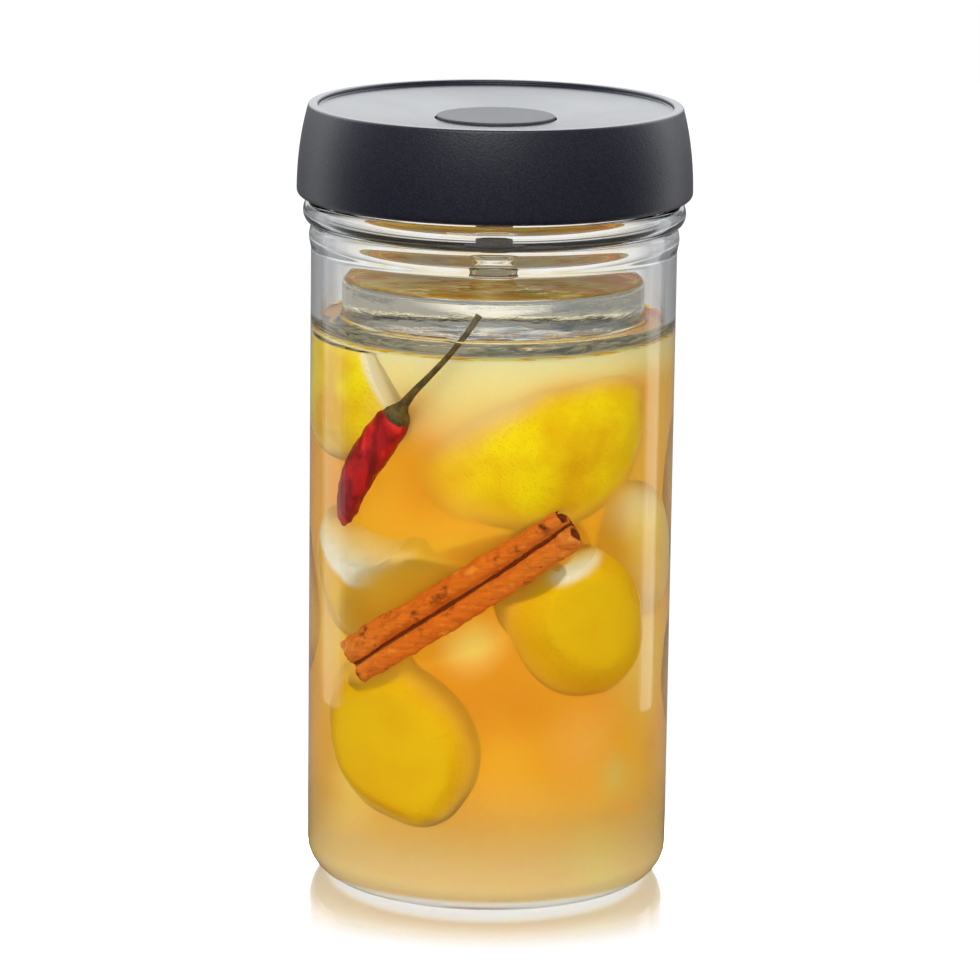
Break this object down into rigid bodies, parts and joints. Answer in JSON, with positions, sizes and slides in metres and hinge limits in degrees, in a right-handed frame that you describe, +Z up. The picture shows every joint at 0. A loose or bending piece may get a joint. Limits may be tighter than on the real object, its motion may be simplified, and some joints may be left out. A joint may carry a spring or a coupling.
{
  "type": "fermentation jar",
  "caption": "Straight glass fermentation jar with a loose glass weight and a screw lid with a sprung push-button vent valve.",
  "frame": {"origin": "centre of the jar's foot, on the surface that it stands on", "axes": "+Z up along the jar's axis; -Y is the front in the picture"},
  "size_m": [0.1172, 0.1172, 0.2334],
  "materials": {
    "glass": "clear moulded glass",
    "charcoal": "fine matte grain",
    "button": "satin",
    "liner": "matte moulded",
    "valve": "satin moulded",
    "seal": "translucent silicone",
    "valve_silicone": "dark silicone",
    "steel": "stainless wire"
  },
  "bodies": {
    "jar": {"glass_jar": "glass"},
    "weight": {"glass_weight": "glass"},
    "rim_seal": {"rim_gasket": "seal"},
    "lid": {"lid_liner": "liner", "lid_cover": "charcoal", "valve_housing": "valve", "housing_washer": "valve_silicone", "housing_nut": "valve", "return_spring": "steel"},
    "vent": {"vent_button": "button", "valve_stem": "valve", "valve_disc": "valve_silicone"}
  },
  "joints": [
    {"name": "lid_rise", "type": "slide", "parent": "jar", "child": "rim_seal", "axis": [0, 0, 1], "range_m": [0, 0.0905]},
    {"name": "lid_turn", "type": "hinge", "parent": "rim_seal", "child": "lid", "pos_m": [0, 0, 0.223], "axis": [0, 0, 1], "range_deg": [0, 1620]},
    {"name": "vent_press", "type": "slide", "parent": "lid", "child": "vent", "axis": [0, 0, -1], "range_m": [0, 0.002], "stiffness_N_per_m": 450, "springref_m": -0.002, "deforming": ["return_spring"]},
    {"name": "weight_lift", "type": "slide", "parent": "jar", "child": "weight", "axis": [0, 0, 1], "range_m": [0, 0.0685]}
  ],
  "couplings": [
    {"joint": "lid_rise", "follows": "lid_turn", "m_per_rad": 0.0031831},
    {"joint": "weight_lift", "follows": "lid_turn", "m_per_rad": 0.0024}
  ]
}
